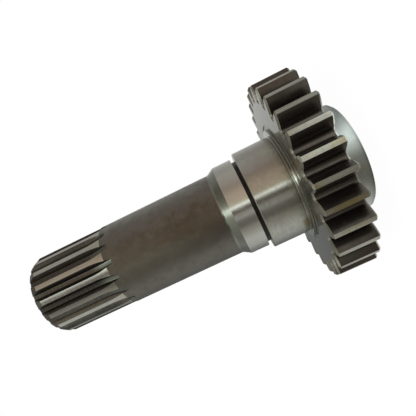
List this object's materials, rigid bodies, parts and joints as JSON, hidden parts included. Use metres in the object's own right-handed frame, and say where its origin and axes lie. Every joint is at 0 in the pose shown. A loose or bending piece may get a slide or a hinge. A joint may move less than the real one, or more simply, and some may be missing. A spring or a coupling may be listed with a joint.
{
  "type": "power take-off shaft",
  "caption": "One-piece steel power take-off shaft with an integral spur gear, ground bearing seats, a retaining ring groove and an involute splined end.",
  "frame": {"origin": "centre of the flat hub end face, which the shaft stands on", "axes": "+Z along the shaft's axis, from the hub end through the gear to the splined end; +X through the middle of one gear tooth"},
  "size_m": [0.09, 0.09, 0.149],
  "materials": {
    "steel": "dark oiled steel, ground bright on the seats and bare on tooth tips and edges"
  },
  "bodies": {
    "root": {"gear_shaft": "steel"}
  },
  "joints": []
}
